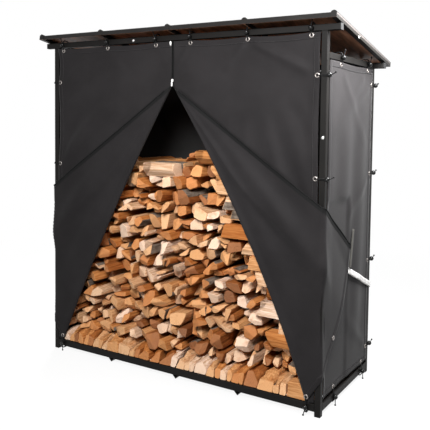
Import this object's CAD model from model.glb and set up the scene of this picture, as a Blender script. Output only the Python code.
# %% [markdown]
# # A log store with a laced cover
# The store is a frame of square steel tube under a sheet roof. Four fabric covers are laced to it
# with elastic ties, and the front one is unzipped and turned back like a tent, so that the firewood
# shows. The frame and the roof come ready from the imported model. The soft and small pieces are
# worked out here as numpy arrays, because cloth, cord and split wood have no straight edges that a
# solid modeller would give for free.

import bpy
import numpy as np
from mathutils import Matrix, Vector


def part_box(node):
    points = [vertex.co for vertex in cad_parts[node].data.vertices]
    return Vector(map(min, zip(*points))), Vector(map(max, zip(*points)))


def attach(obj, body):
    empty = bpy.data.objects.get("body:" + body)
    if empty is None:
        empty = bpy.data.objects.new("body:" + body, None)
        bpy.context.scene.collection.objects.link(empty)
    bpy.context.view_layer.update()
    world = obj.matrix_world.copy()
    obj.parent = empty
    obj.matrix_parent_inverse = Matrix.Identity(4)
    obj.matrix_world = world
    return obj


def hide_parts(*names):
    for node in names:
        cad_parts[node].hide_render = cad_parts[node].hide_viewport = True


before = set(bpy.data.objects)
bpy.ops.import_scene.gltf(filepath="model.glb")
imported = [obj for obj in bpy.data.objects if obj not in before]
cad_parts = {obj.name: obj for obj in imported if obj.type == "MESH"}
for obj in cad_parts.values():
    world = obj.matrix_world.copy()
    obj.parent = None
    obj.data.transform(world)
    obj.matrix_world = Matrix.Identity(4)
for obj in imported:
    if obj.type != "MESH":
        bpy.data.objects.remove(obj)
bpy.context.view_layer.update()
bpy.context.scene.view_settings.view_transform = "Standard"

# %% [markdown]
# ## Sizes
# Every place below follows from a few faces of the frame, so a cover always meets its post. They
# could be typed in again, but reading them from the nodes' boxes keeps one source for each size.
# Only sizes that no box shows, such as the eyelets' spacing, are written here, in metres.


# %% Faces of the frame
def low(node):
    """Lowest corner of a node's box."""
    return np.array(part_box(node)[0])


def high(node):
    """Highest corner of a node's box."""
    return np.array(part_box(node)[1])


SPAN_X, FRONT_Y = low("front_right_post")[:2]
POST_X = high("front_right_post")[0]
REAR_Y = high("rear_right_post")[1]
TUBE = POST_X - SPAN_X
COVER_X, _, FRONT_TOP = high("front_cover_right")
CORNER_Z = low("front_cover_right")[2]
ZIP_CLEAR = 0.001
APEX_Z = low("zip")[2] - ZIP_CLEAR
SIDE_Y0, HEM_Z = low("right_cover")[1:]
SIDE_Y1, SIDE_TOP = high("right_cover")[1:]
RAIL_Z, RAIL_TOP = low("front_bottom_rail")[2], high("front_bottom_rail")[2]
print("covers", round(2 * COVER_X, 3), "m wide, from", round(HEM_Z, 3), "to", round(FRONT_TOP, 3), "m")

# %% The opening and its flaps
CORNER_IN, HEM_RISE = 0.073, 0.104
TIP_IN, TIP_Z = 0.037, 0.632
KNUCKLE_BACK, KNUCKLE_RISE = 0.002, 0.130
FOLD_X = POST_X - CORNER_IN
FOLD_LEN = np.hypot(FOLD_X, APEX_Z - CORNER_Z)
FOLD_ANGLE = np.arctan2(FOLD_X, APEX_Z - CORNER_Z)
TIP = np.array([high("right_flap")[1] - TIP_IN, TIP_Z])
KNUCKLE = TIP + [KNUCKLE_BACK, KNUCKLE_RISE]
FOLD_BOW = {-1: 0.032, 1: 0.062}
HEM_BOW = 0.020
FLAP_POST_Z = APEX_Z - POST_X / np.tan(2 * FOLD_ANGLE)
print("opening", round(2 * FOLD_X, 3), "m wide, apex at", round(APEX_Z, 3), "m")

# %% Rows of eyelets
SIDES = {"left": -1, "right": 1}
EYE_EDGE = 0.014
TOP_OUTER_IN, TOP_INNER_X = 0.045, 0.109
SIDE_DROP, SIDE_LIFT = 0.085, 0.078
FRONT_DROP, FLAP_LIFT = 0.196, 0.153
TIE_FROM_FRONT, TIE_FROM_REAR = 0.143, 0.087
TOP_X = np.linspace(COVER_X - TOP_OUTER_IN, TOP_INNER_X, 3)
SIDE_ROW_Z = np.linspace(SIDE_TOP - SIDE_DROP, HEM_Z + SIDE_LIFT, 4)
FRONT_ROW_Z = np.array([FRONT_TOP - FRONT_DROP, FLAP_POST_Z + FLAP_LIFT])
SIDE_TIE_Y = np.array([FRONT_Y + TUBE + TIE_FROM_FRONT, REAR_Y - TUBE - TIE_FROM_REAR])
EYE_X, EYE_Y = COVER_X - EYE_EDGE, SIDE_Y1 - EYE_EDGE
CORNER_EYE_UP, HEM_EYE_SHARE = 0.028, 0.39
print("eyelet rows at", np.round(SIDE_ROW_Z, 3), "and", np.round(FRONT_ROW_Z, 3))

# %% [markdown]
# ## Camera
# The view comes from the right, a little above the middle of the store. The uprights stay upright in
# the picture because the lens is shifted down instead of being tilted, as on a view camera.

# %% Camera
IMAGE_PX, FOCAL_PX, SHIFT_PX = 430, 641.1, 60
SENSOR_MM = 36
YAW, PITCH, ROLL = 0.551, 0.0538, 0.0118
CAMERA_PLACE = (1.9425, -3.0843, 1.3726)
ahead = Vector((-np.sin(YAW) * np.cos(PITCH), np.cos(YAW) * np.cos(PITCH), -np.sin(PITCH)))
level = Vector((np.cos(YAW), np.sin(YAW), 0))
right = level * np.cos(ROLL) + level.cross(ahead) * np.sin(ROLL)
camera = bpy.data.objects.new("camera", bpy.data.cameras.new("camera"))
camera.data.sensor_width = SENSOR_MM
camera.data.lens = SENSOR_MM * FOCAL_PX / IMAGE_PX
camera.data.shift_y = -SHIFT_PX / IMAGE_PX
camera.matrix_world = Matrix((right, right.cross(ahead), -ahead)).transposed().to_4x4()
camera.location = CAMERA_PLACE
bpy.context.collection.objects.link(camera)
bpy.context.scene.camera = camera
print("lens", round(camera.data.lens, 2), "mm")

# %% [markdown]
# ## Shader maths
# A material's pattern is easier to read as a formula than as a picture of nodes. A Wire holds one
# socket, and arithmetic on it adds Math nodes, so `1 - mask * 0.3` builds what it says.


# %% A socket that takes part in arithmetic
class Wire:
    """One output socket of a node tree. Operators on it add Math nodes."""

    def __init__(self, tree, socket=None):
        self.tree = tree
        self.socket = socket

    def node(self, kind, settings=None, inputs=None, out=0):
        """A new node: its settings are set first, then its sockets get values or links."""
        made = self.tree.nodes.new(kind)
        for name, value in (settings or {}).items():
            if name == "stops":
                fill_ramp(made.color_ramp, value)
            else:
                setattr(made, name, value)
        for name, value in (inputs or {}).items():
            if isinstance(value, Wire):
                self.tree.links.new(value.socket, made.inputs[name])
            else:
                made.inputs[name].default_value = value
        return Wire(self.tree, made.outputs[out])

    def math(self, operation, *others):
        """A Math node on this value and the others."""
        return self.node("ShaderNodeMath", {"operation": operation}, dict(enumerate((self, *others))))

    def __add__(self, other):
        return self.math("ADD", other)

    def __rsub__(self, other):
        return self.node("ShaderNodeMath", {"operation": "SUBTRACT"}, {0: other, 1: self})

    def __mul__(self, other):
        return self.math("MULTIPLY", other)

    __rmul__ = __mul__

    def between(self, start, end):
        """0 below start, 1 above end, and a soft step from one to the other."""
        settings = {"interpolation_type": "SMOOTHSTEP"}
        return self.node("ShaderNodeMapRange", settings, {0: self, 1: start, 2: end})

    def blend(self, first, second):
        """Colour that goes from first to second as this value goes from 0 to 1."""
        return self.node("ShaderNodeMix", {"data_type": "RGBA"}, {0: self, 6: first, 7: second}, 2)

    def multiplied(self, other):
        """This colour and another, multiplied channel by channel."""
        settings = {"data_type": "RGBA", "blend_type": "MULTIPLY"}
        return self.node("ShaderNodeMix", settings, {0: 1.0, 6: self, 7: other}, 2)

    def noise(self, scale, detail=3.0, rough=0.5):
        """Soft noise over this vector, with about scale blobs a unit."""
        inputs = {"Vector": self, "Scale": scale, "Detail": detail, "Roughness": rough}
        return self.node("ShaderNodeTexNoise", None, inputs)

    def stretch(self, x, y, z):
        """This vector with each axis scaled by its own factor."""
        return self.node("ShaderNodeVectorMath", {"operation": "MULTIPLY"}, {0: self, 1: (x, y, z)})

    def length(self):
        """Length of this vector."""
        return self.node("ShaderNodeVectorMath", {"operation": "LENGTH"}, {0: self}, 1)

    def axis(self, name):
        """One component of this vector."""
        return self.node("ShaderNodeSeparateXYZ", None, {0: self}, name)


def fill_ramp(ramp, stops):
    """Gives a colour ramp its stops, as pairs of place and colour."""
    while len(ramp.elements) < len(stops):
        ramp.elements.new(1)
    for element, (place, colour) in zip(ramp.elements, stops):
        element.position = place
        element.color = colour


# %% A finish
class Finish:
    """A Principled material whose even sockets are set directly and whose patterns are wired in."""

    def __init__(self, name, colour, roughness=0.5, **even):
        self.material = bpy.data.materials.new(name)
        self.material.use_nodes = True
        self.material.diffuse_color = colour
        tree = self.material.node_tree
        self.shader = tree.nodes["Principled BSDF"]
        self.start = Wire(tree)
        self.place = self.start.node("ShaderNodeTexCoord", out="Object")
        self.even(Base_Color=colour, Roughness=roughness, **even)

    def even(self, **values):
        """Sets sockets that are the same all over. An underscore stands for a space."""
        for name, value in values.items():
            self.shader.inputs[name.replace("_", " ")].default_value = value

    def wire(self, **patterns):
        """Links patterns to sockets."""
        for name, pattern in patterns.items():
            socket = self.shader.inputs[name.replace("_", " ")]
            self.start.tree.links.new(pattern.socket, socket)

    def bump(self, height, strength, distance):
        """Fine relief: a height pattern that bends the normal."""
        inputs = {"Height": height, "Strength": strength, "Distance": distance}
        self.wire(Normal=self.start.node("ShaderNodeBump", None, inputs))

    def mapped(self):
        """Place on the flat cut of a cloth."""
        return self.start.node("ShaderNodeUVMap", {"uv_map": "cut"})

    def value(self, name, out="Fac"):
        """A value that the mesh keeps at each of its points."""
        return self.start.node("ShaderNodeAttribute", {"attribute_name": name}, None, out)


def tint(colour, factor):
    """A colour made lighter or darker by one factor."""
    return tuple(min(channel * factor, 1.0) for channel in colour[:3]) + (1.0,)


# %% [markdown]
# ## Coated steel, sheet roof and plastic caps
# Powder coat has a fine orange peel and a little dust, and it wears paler on the faces that are
# handled. The roof sheet is the same paint, smoother on top and brown underneath where the primer
# shows. Bump carries what is finer than a millimetre, and colour carries the dust.


# %% Powder coat
def powder_coat(name, colour, roughness):
    """Clouds of dust over an even coat, long pale scuffs, and orange peel as bump."""
    finish = Finish(name, colour, roughness, Specular_IOR_Level=0.10)
    clouds = finish.place.noise(7, 4)
    peel = finish.place.noise(900, 2)
    scuffs = finish.place.stretch(1, 1, 0.15).noise(120, 5, 0.7).between(0.62, 0.8)
    shade = clouds.between(0.3, 0.75).blend(tint(colour, 0.8), tint(colour, 1.2))
    finish.wire(Base_Color=(scuffs * 0.35).blend(shade, tint(colour, 2.4)))
    finish.wire(Roughness=clouds * 0.16 + (roughness - 0.08))
    finish.bump(peel, 0.12, 0.0006)
    return finish


frame_coat = powder_coat("frame_coat", (0.0064, 0.0058, 0.0054, 1), 0.52)
FRAME_NODES = [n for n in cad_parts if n.endswith(("_post", "_beam", "_rail", "floor_bars"))]
print("coated tubes:", len(FRAME_NODES))


# %% Roof paint
def roof_paint():
    """Satin paint above, and brown with rolled streaks on the faces that look down."""
    above, below = (0.014, 0.0128, 0.0122, 1), (0.37, 0.18, 0.11, 1)
    finish = Finish("roof_paint", above, 0.42, Specular_IOR_Level=0.10)
    facing = finish.start.node("ShaderNodeNewGeometry", out="Normal").axis("Z")
    streaks = finish.place.stretch(26, 1.2, 26).noise(1, 5, 0.65)
    under = streaks.between(0.3, 0.75).blend(tint(below, 0.55), tint(below, 1.7))
    over = finish.place.noise(5, 4).between(0.3, 0.7).blend(tint(above, 0.85), tint(above, 1.12))
    finish.wire(Base_Color=facing.between(-0.45, -0.55).blend(over, under))
    finish.wire(Roughness=streaks * 0.2 + 0.3)
    finish.bump(finish.place.noise(700, 2), 0.08, 0.0005)
    return finish


def edge_paint():
    """The folded side edge: a pale strip along its top, and roof paint below it."""
    pale, dark = (0.066, 0.058, 0.056, 1), (0.010, 0.009, 0.008, 1)
    finish = Finish("edge_paint", pale, 0.36, Specular_IOR_Level=0.15)
    front_top, rear_top = high("front_top_beam"), high("rear_top_beam")
    fall = (front_top[2] - rear_top[2]) / (rear_top[1] - front_top[1])
    top = high("right_roof_edge")[2] + fall * low("right_roof_edge")[1]
    below = top - (finish.place.axis("Z") + finish.place.axis("Y") * fall)
    soil = finish.place.noise(30, 4).between(0.3, 0.8).blend(tint(pale, 0.8), pale)
    finish.wire(Base_Color=below.between(0.0050, 0.0075).blend(soil, dark))
    finish.wire(Roughness=finish.place.noise(9, 3) * 0.2 + 0.3)
    return finish


roof_coat = roof_paint()
edge_coat = edge_paint()
print("roof finishes:", roof_coat.material.name, edge_coat.material.name)


# %% Moulded plastic
def moulded_plastic(name, colour, roughness, **even):
    """Plastic from a spark-finished mould: an even colour with a fine grain."""
    finish = Finish(name, colour, roughness, **even)
    finish.wire(Roughness=finish.place.noise(60, 4) * 0.2 + (roughness - 0.1))
    finish.bump(finish.place.noise(1400, 1), 0.1, 0.0004)
    return finish


cap_plastic = moulded_plastic("cap_plastic", (0.014, 0.014, 0.014, 1), 0.5, Specular_IOR_Level=0.2)
SHOWN_AS_IS = {
    frame_coat: FRAME_NODES,
    roof_coat: ["roof_panel_1", "roof_panel_2", "roof_panel_3", "roof_panel_4", "roof_ribs"],
    edge_coat: ["left_roof_edge", "right_roof_edge"],
    cap_plastic: ["beam_end_caps", "foot_caps"],
}
for finish, nodes in SHOWN_AS_IS.items():
    for node in nodes:
        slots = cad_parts[node].data.materials
        slots.clear()
        slots.append(finish.material)
print("dressed CAD nodes:", sum(map(len, SHOWN_AS_IS.values())))

# %% [markdown]
# ## From arrays to meshes
# A patch is an array of points with the quads that join them. All patches of a piece become one
# mesh, because one object for each eyelet or log would be slow to draw and hard to keep together.


# %% Grids and soft steps
def grid_faces(rows, cols, flip=False, wrap=False):
    """Corner numbers of the quads of a grid, row by row. Wrap joins the last column to the first."""
    r = np.arange(rows - 1)[:, None] * cols
    c = np.arange(cols if wrap else cols - 1)[None, :]
    n = (c + 1) % cols
    quads = np.stack([r + c, r + n, r + cols + n, r + cols + c], axis=-1).reshape(-1, 4)
    return quads[:, ::-1] if flip else quads


def soft(t):
    """0 up to t = 0, 1 from t = 1, and a soft step between them."""
    t = np.clip(t, 0, 1)
    return t * t * (3 - 2 * t)


def bell(t):
    """A rounded hump of height 1 and width about 1 on each side."""
    return np.exp(-t * t)


def stack(*parts):
    """Broadcasts coordinates against each other and joins them along a last axis."""
    return np.stack(np.broadcast_arrays(*parts), axis=-1)


print("a grid of 3 by 4 corners has", len(grid_faces(3, 4)), "quads")

# %% Boxes, fans and repeats
CUBE = stack(*np.meshgrid([-1, 1], [-1, 1], [-1, 1], indexing="ij")).reshape(8, 3)
CUBE_FACES = np.array([[0, 1, 3, 2], [4, 6, 7, 5], [0, 4, 5, 1], [2, 3, 7, 6], [1, 5, 7, 3], [0, 2, 6, 4]])


def fan(first, pole, sides, flip=False):
    """Triangles that join a ring of corners, numbered on from first, to one pole."""
    step = np.arange(sides)
    ring, after = first + step, first + (step + 1) % sides
    pair = (after, ring) if flip else (ring, after)
    return np.stack([*pair, np.full(sides, pole)], axis=1)


def repeated(faces, count, size):
    """Faces of a shape with size points, numbered on for each of its count copies."""
    shift = (np.arange(count) * size)[:, None, None]
    return [(f + shift).reshape(-1, f.shape[1]) for f in faces]


print("faces of two boxes:", len(repeated([CUBE_FACES], 2, len(CUBE))[0]))


# %% One mesh object from patches
def patch(points, faces, finish=0, uv=None, **values):
    """Points (n, 3), a list of face arrays, the finish number, the cut's own UV and point values."""
    points = np.asarray(points, float).reshape(-1, 3)
    uv = points[:, [0, 2]] if uv is None else np.asarray(uv, float).reshape(-1, 2)
    return {"points": points, "faces": faces, "finish": finish, "uv": uv, "values": values}


def build(name, patches, finishes, stands_for=(), thick=0.0, flat_shaded=False):
    """Joins patches into one mesh at the origin, which rides on the store. Thick grows inwards."""
    offsets = np.cumsum([0] + [len(p["points"]) for p in patches])
    points = np.concatenate([p["points"] for p in patches])
    loops = [f + offset for p, offset in zip(patches, offsets) for f in p["faces"]]
    corners = np.concatenate([f.ravel() for f in loops])
    sizes = np.concatenate([np.full(len(f), f.shape[1]) for f in loops])
    mesh = bpy.data.meshes.new(name)
    mesh.vertices.add(len(points))
    mesh.vertices.foreach_set("co", points.ravel())
    mesh.loops.add(len(corners))
    mesh.loops.foreach_set("vertex_index", corners)
    mesh.polygons.add(len(sizes))
    mesh.polygons.foreach_set("loop_start", np.cumsum(sizes) - sizes)
    numbers = [np.full(sum(map(len, p["faces"])), p["finish"]) for p in patches]
    mesh.polygons.foreach_set("material_index", np.concatenate(numbers))
    mesh.polygons.foreach_set("use_smooth", np.full(len(sizes), not flat_shaded))
    uv = np.concatenate([p["uv"] for p in patches])
    mesh.uv_layers.new(name="cut").data.foreach_set("uv", uv[corners].ravel())
    for key in patches[0]["values"]:
        values = np.concatenate([p["values"][key] for p in patches])
        kind = "FLOAT" if values.ndim == 1 else "FLOAT_VECTOR"
        layer = mesh.attributes.new(key, kind, "POINT")
        layer.data.foreach_set("value" if kind == "FLOAT" else "vector", values.ravel())
    mesh.update(calc_edges=True)
    mesh.validate()
    for finish in finishes:
        mesh.materials.append(finish.material)
    piece = bpy.data.objects.new(name, mesh)
    bpy.context.collection.objects.link(piece)
    if thick:
        shell = piece.modifiers.new("thickness", "SOLIDIFY")
        shell.thickness = thick
        shell.offset = -1
        shell.material_offset = len(finishes) - 1
    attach(piece, "root")
    if stands_for:
        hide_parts(*stands_for)
    print(name, "has", len(points), "points")
    return piece


# %% [markdown]
# ## Cover cloth
# The covers are woven polyester with a dark coating: nearly black inside, charcoal outside, with a
# dull sheen. The weave is under two millimetres, so it is bump on the cloth's own cut, and the folds
# that a visitor would see are geometry.

# %% Cloth finishes
WEAVE_PITCH = 0.0018
CLOTH_THICK = 0.0012


def cover_cloth(name, colour, roughness):
    """Coated cloth: clouds and rubbed spots in the colour, and a plain weave as bump, sine by sine."""
    finish = Finish(name, colour, roughness, Sheen_Weight=0.06, Sheen_Roughness=0.4,
                    Specular_IOR_Level=0.03)
    cut = finish.mapped()
    threads = 2 * np.pi / WEAVE_PITCH
    warp = (cut.axis("X") * threads).math("SINE")
    weft = (cut.axis("Y") * threads).math("SINE")
    clouds = cut.noise(3.5, 5, 0.6)
    rubbed = cut.noise(38, 4, 0.7).between(0.55, 0.85)
    shade = clouds.between(0.3, 0.72).blend(tint(colour, 0.86), tint(colour, 1.14))
    finish.wire(Base_Color=(rubbed * 0.16).blend(shade, tint(colour, 2.0)))
    finish.wire(Roughness=clouds * 0.14 + (roughness - 0.07))
    finish.bump(warp * weft * 0.5 + cut.noise(240, 2) * 0.7, 0.16, 0.0006)
    return finish


outer_cloth = cover_cloth("outer_cloth", (0.0190, 0.0175, 0.0181, 1), 0.55)
inner_cloth = cover_cloth("inner_cloth", (0.030, 0.030, 0.030, 1), 0.8)
hem_cloth = cover_cloth("hem_cloth", (0.0180, 0.0166, 0.0172, 1), 0.58)
print("cloth:", [f.material.name for f in (outer_cloth, inner_cloth, hem_cloth)])

# %% [markdown]
# ## How a laced cover hangs
# A cloth held only at its eyelets scallops between them, and soft ridges run from one held point to
# the next. A simulation could find such folds, but each run would move them, so they are drawn as a
# relief over the flat cut: a sum of bells along the lines of tension.


# %% Tension ridges and scallops
def ridge(x, z, start, end, height, width, spread=2.0):
    """A bell across the line from start to end. It widens by spread and fades at both ends."""
    run = np.subtract(end, start)
    length = np.hypot(*run)
    along = ((x - start[0]) * run[0] + (z - start[1]) * run[1]) / length**2
    off = ((x - start[0]) * run[1] - (z - start[1]) * run[0]) / length
    wide = width * (1 + (spread - 1) * np.clip(along, 0, 1))
    return height * soft((along - 0.06) / 0.10) * soft((1 - along) / 0.3) * bell(off / wide)


def swag(v, marks, depth):
    """Parabolas of equal depth that touch zero at each mark, and at nothing outside them."""
    marks = np.sort(marks)
    i = np.clip(np.searchsorted(marks, v) - 1, 0, len(marks) - 2)
    share = np.clip((v - marks[i]) / (marks[i + 1] - marks[i]), 0, 1)
    return 4 * depth * share * (1 - share)


HOLE_HALF = 0.0068
SWAG_REACH = 0.15


def punched(flat, faces, holes, half=HOLE_HALF):
    """Opens a square hole at each place: the nearest quad's corners move to it and the quad goes."""
    points = flat.reshape(-1, 2)
    kept = np.ones(len(faces), bool)
    middles = points[faces].mean(axis=1)
    for hole in holes:
        at = np.argmin(((middles - hole) ** 2).sum(axis=1))
        square = points[faces[at]] - middles[at]
        points[faces[at]] = hole + half * np.sign(square)
        kept[at] = False
    return faces[kept]


print("a ridge of 6 mm is", ridge(0.5, 0.0, (0, 0), (1, 0), 0.006, 0.02), "m high at its middle")

# %% [markdown]
# ## Front cover
# Each half hangs from the top beam between the zip and the post. Below the zip's end its free edge is
# a straight fold from the apex down to the lower corner, so a row of the grid starts at that line.
# The folds fan out from the apex, where all the tension meets.


# %% Front cover's relief
ZIP_ANGLE = np.arctan2(POST_X, APEX_Z - FLAP_POST_Z)
FRONT_FOLD, FRONT_FINE, FRONT_BILLOW, UNDER_DEEP = 0.0085, 0.0030, 0.012, 0.005
FOLD_WAVES, FINE_WAVES = 26, 43
LINE_SHARE = {-1: 0.4, 1: 1.0}
EDGE_SOFT = 0.03


def arc(bow, share):
    """A shallow arc that rises to bow half way between share 0 and share 1."""
    return 4 * bow * share * (1 - share)


def opening_x(z, side):
    """Distance of the opening's edge from the middle at height z: a line that bows outwards."""
    share = np.clip((APEX_Z - z) / (APEX_Z - CORNER_Z), 0, 1)
    return FOLD_X * share + arc(FOLD_BOW[side], share)


FRONT_TIES = [(x, FRONT_TOP - EYE_EDGE) for x in TOP_X]
FRONT_EYES = [(EYE_X, z) for z in FRONT_ROW_Z]
FRONT_LINES = [
    (FRONT_TIES[1], FRONT_EYES[0], 0.012, 0.014),
    (FRONT_TIES[1], (0.30, 1.60), 0.009, 0.014),
    (FRONT_TIES[2], (0.004, FRONT_TOP - 0.16), 0.006, 0.010, 1.4),
    (FRONT_EYES[0], (EYE_X - 0.02, FRONT_ROW_Z[1]), 0.004, 0.02, 1.0),
]


def front_relief(x, z, side):
    """Height of the front cover over its plane: folds that fan out from a tie, ridges, a billow."""
    angle = np.arctan2(x, APEX_Z - z)
    hung_x = TOP_X[1] if side > 0 else TOP_X[2]
    swing = np.arctan2(x - hung_x, FRONT_TOP - z)
    far = np.hypot(x - hung_x, FRONT_TOP - z)
    fan_out = FRONT_FOLD * soft((far - 0.3) / 0.5) * np.sin(FOLD_WAVES * swing + 0.4 + side)
    fan_out += FRONT_FINE * soft((far - 0.4) / 0.5) * np.sin(FINE_WAVES * swing + 2.0 * side)
    fan_out *= soft((COVER_X - x) / 0.10)
    billow = FRONT_BILLOW * np.sin(np.pi * np.clip(x / COVER_X, 0, 1)) * soft((FRONT_TOP - z) / 0.5)
    lines = sum(ridge(x, z, *line) for line in FRONT_LINES)
    relief = fan_out + billow * soft((COVER_X - x) / 0.2) + lines * LINE_SHARE[side]
    under = soft((ZIP_ANGLE - angle) / 0.06 + 0.5)
    tucked = -UNDER_DEEP * soft((x - opening_x(z, side)) / EDGE_SOFT)
    return relief * (1 - under) * soft(x / EDGE_SOFT) + tucked * under


FRONT_PULL = {-1: 0.013, 1: 0.004}
FRONT_SWAG, FRONT_REACH = 0.007, 0.18


def front_point(x, z, side, lift=0.0):
    """Point of the front cover over the flat place (x, z), for the left or right half."""
    slack = swag(x, TOP_X, FRONT_SWAG) * soft((z - FRONT_TOP + SWAG_REACH) / SWAG_REACH)
    marks = np.append(FRONT_ROW_Z, FRONT_TOP - EYE_EDGE)
    pull = swag(z, marks, FRONT_PULL[side]) * soft((x - COVER_X + FRONT_REACH) / FRONT_REACH)
    return stack(side * (x - pull), FRONT_Y - front_relief(x, z, side) - lift, z - slack)


# %% Front cover halves
FRONT_ROWS, FRONT_COLS = 150, 64
ZIP_GAP = 0.0004
for name, side in SIDES.items():
    z = np.linspace(CORNER_Z, FRONT_TOP, FRONT_ROWS)[:, None]
    share = np.linspace(0, 1, FRONT_COLS)[None, :]
    inner = np.maximum(opening_x(z, side), ZIP_GAP)
    flat = stack(inner + (COVER_X - inner) * share, z).copy()
    faces = punched(flat, grid_faces(FRONT_ROWS, FRONT_COLS), FRONT_TIES + FRONT_EYES)
    faces = faces if side > 0 else faces[:, ::-1]
    x, z = flat[..., 0], flat[..., 1]
    half = patch(front_point(x, z, side), [faces], uv=flat)
    node = f"front_cover_{name}"
    piece = build(f"front_cloth_{name}", [half], [outer_cloth, inner_cloth], [node], CLOTH_THICK)
    tall = FRONT_TOP - CORNER_Z
    area = COVER_X * tall - (FOLD_X / 2 + FOLD_BOW[side] * 2 / 3) * (APEX_Z - CORNER_Z)
    print(node, "flat area", round(area, 3), "m2")

# %% [markdown]
# ## Turned-back flaps
# Below the slider each half is turned over outwards and laid round its post on to the side, where a
# strap holds its corner back. It is the mirror image of the opening in the fold, so the flat flap is
# a triangle from the apex, with its free corner tucked in. Rays from the apex make the grid, and a
# bend carries each ray round the post without stretching it.

# %% The flat flap and its bend
BEND_R = 0.009
BEND_X = POST_X - BEND_R
BEND_LEN = BEND_R * np.pi / 2
TUCK_SHARE = 0.86


def side_to_flat(y, z):
    """Flat place of a point on the side, measured along the cloth round the post."""
    return np.array([BEND_X + BEND_LEN + (y - FRONT_Y - BEND_R), z])


def flap_rim(t):
    """Rim of the flat flap: along the hem from the fold to the strap, then up the tucked corner."""
    corner = np.array([FOLD_X, CORNER_Z])
    tip, knuckle = side_to_flat(*TIP), side_to_flat(*KNUCKLE)
    t = np.asarray(t)[..., None]
    on_hem = np.clip(t / TUCK_SHARE, 0, 1)
    on_tuck = np.clip((t - TUCK_SHARE) / (1 - TUCK_SHARE), 0, 1)
    run = tip - corner
    post = (POST_X - FOLD_X) / run[0]
    on_side = np.clip((on_hem - post) / (1 - post), 0, 1)
    bow = arc(HEM_BOW, on_side) * np.array([run[1], -run[0]]) / np.hypot(*run)
    return corner + run * on_hem + bow + (knuckle - tip) * on_tuck


def flap_flat(r, t, side):
    """Place on the flat flap: a share r of the way from the apex to the rim at t, bowed at the fold."""
    apex = np.array([0.0, APEX_Z])
    r, t = np.broadcast_arrays(r, t)
    flat = apex + r[..., None] * (flap_rim(t) - apex)
    flat[..., 0] += arc(FOLD_BOW[side], r) * (1 - t) ** 2
    return flat


NEWTON_STEPS, NEWTON_SMALL, NEWTON_MOST = 40, 1e-5, 0.05


def flap_place(a, z, side):
    """Share and ray of a flat place, found by short Newton steps from the middle of the flap's hem."""
    at = np.array([0.9, 0.3])
    for _ in range(NEWTON_STEPS):
        here = flap_flat(*at, side)
        slopes = [(flap_flat(*(at + step), side) - here) / NEWTON_SMALL for step in np.eye(2) * NEWTON_SMALL]
        step = np.linalg.solve(np.transpose(slopes), np.array([a, z]) - here)
        at = at + np.clip(step, -NEWTON_MOST, NEWTON_MOST)
    return at


ROLL_H, FLAP_WAVE, LIP_H, CURL_H, LAID_ON = 0.025, 0.0055, 0.010, 0.003, 0.002
CREST_FIRST, CREST_MOVE = 0.42, 0.22
ROLL_STEEP, ROLL_WIDE = 0.085, 0.28
VALLEY_DROP, VALLEY_ROUND, VALLEY_MOST = 0.015, 0.015, 0.012
SLOPE_BELOW, SLOPE_ABOVE = 0.06, 0.16


def flap_relief(r, t, a, z):
    """A steep roll that sweeps from the apex to the post, and a valley on the side along the strap's pull.

    The roll is a bell, steep towards the fold and wide towards the zip. On the side the cloth rises
    in proportion to the distance from the valley line, less steeply below it than above.
    """
    crest = CREST_FIRST + CREST_MOVE * soft((r - 0.30) / 0.45)
    roll = bell((t - crest) / np.where(t < crest, ROLL_STEEP, ROLL_WIDE))
    waves = FLAP_WAVE * np.sin(17 * t + 5 * r) * soft(t / 0.15)
    by_post = 1 - 0.5 * soft((a - 0.62) / 0.23)
    front = (ROLL_H * roll + waves) * soft(r / 0.7) * by_post * (1 - 0.8 * soft((a - BEND_X) / 0.12))
    lip = LIP_H * (1 - np.exp(-r * t * FOLD_LEN * 0.5 / 0.006)) * (2 * by_post - 1) ** 0.5
    start, end = side_to_flat(FRONT_Y, FLAP_POST_Z - VALLEY_DROP), side_to_flat(*TIP)
    run = (end - start) / np.hypot(*(end - start))
    off = (a - start[0]) * run[1] - (z - start[1]) * run[0]
    slope = np.where(off > 0, SLOPE_BELOW, SLOPE_ABOVE)
    valley = slope * (np.sqrt(off**2 + VALLEY_ROUND**2) - VALLEY_ROUND)
    valley = VALLEY_MOST * np.tanh(valley / VALLEY_MOST)
    curl = CURL_H * soft((r - 0.975) / 0.025)
    on_side = soft((a - BEND_X - 0.03) / 0.22)
    return LAID_ON * soft(t / 0.02) + front + lip + (valley + curl) * on_side


def bent_round_post(a, z, height, side):
    """Lays flat places on the front, round the post's corner and along the side, height away."""
    turn = np.clip((a - BEND_X) / BEND_LEN, 0, 1) * np.pi / 2
    beyond = np.maximum(a - BEND_X - BEND_LEN, 0)
    x = np.minimum(a, BEND_X) + (BEND_R + height) * np.sin(turn)
    y = FRONT_Y + BEND_R + beyond - (BEND_R + height) * np.cos(turn)
    return stack(side * x, y, z)


def flap_point(r, t, side, lift=0.0):
    """Point of the turned-back flap at ray t and share r of its length."""
    r, t = np.broadcast_arrays(r, t)
    flat = flap_flat(r, t, side)
    a, z = flat[..., 0], flat[..., 1]
    return bent_round_post(a, z, flap_relief(r, t, a, z) + lift, side)


# %% Both flaps
def flap_eyes(side):
    """Flat places of the flap's two eyelets: by the opening's corner and on the side's hem."""
    z = CORNER_Z + CORNER_EYE_UP
    corner = (opening_x(z, side) + EYE_EDGE, z)
    at_post = np.array([FRONT_Y, CORNER_Z + HEM_RISE])
    run = TIP - at_post
    out = np.array([run[1], -run[0]]) / np.hypot(*run)
    hem = at_post + run * HEM_EYE_SHARE + out * (arc(HEM_BOW, HEM_EYE_SHARE) - EYE_EDGE)
    return [corner, side_to_flat(*hem)]


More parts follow.
